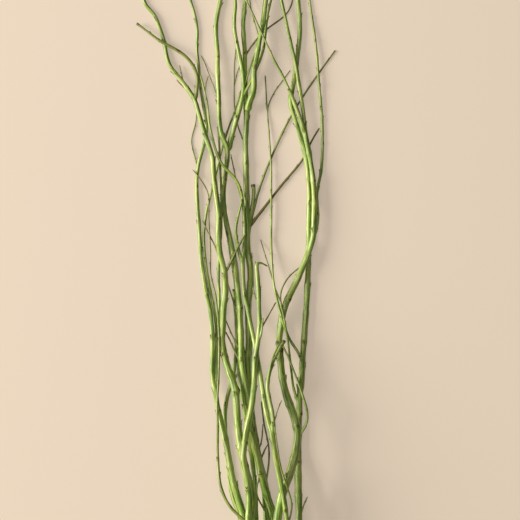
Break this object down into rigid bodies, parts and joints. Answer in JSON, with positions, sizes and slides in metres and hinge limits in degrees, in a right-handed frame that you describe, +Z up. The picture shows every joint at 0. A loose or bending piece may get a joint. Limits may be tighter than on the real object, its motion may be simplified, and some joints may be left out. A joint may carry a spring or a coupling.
{
  "type": "willow stems",
  "caption": "Loose bunch of fresh curly willow stems lying flat, thick cut butts together at one end and forked, winding tips spread at the other.",
  "frame": {"origin": "middle of the bunch's footprint, on the surface that it lies on", "axes": "+Y from the cut butts to the tips, +Z up out of the surface, +X across the bunch"},
  "size_m": [0.2922, 1.2048, 0.0598],
  "materials": {
    "green_bark": "fresh smooth willow bark, yellow-green, satin",
    "brown_bark": "thin first-year willow bark, olive-brown, satin"
  },
  "bodies": {
    "root": {"stem_far_left": "green_bark", "stem_far_back": "green_bark", "stem_left": "green_bark", "stem_front": "green_bark", "stem_whip": "brown_bark", "stem_mid_left": "green_bark", "stem_middle": "green_bark", "stem_trunk": "green_bark", "stem_mid_right": "green_bark", "stem_right_back": "green_bark", "stem_right_front": "green_bark"}
  },
  "joints": []
}
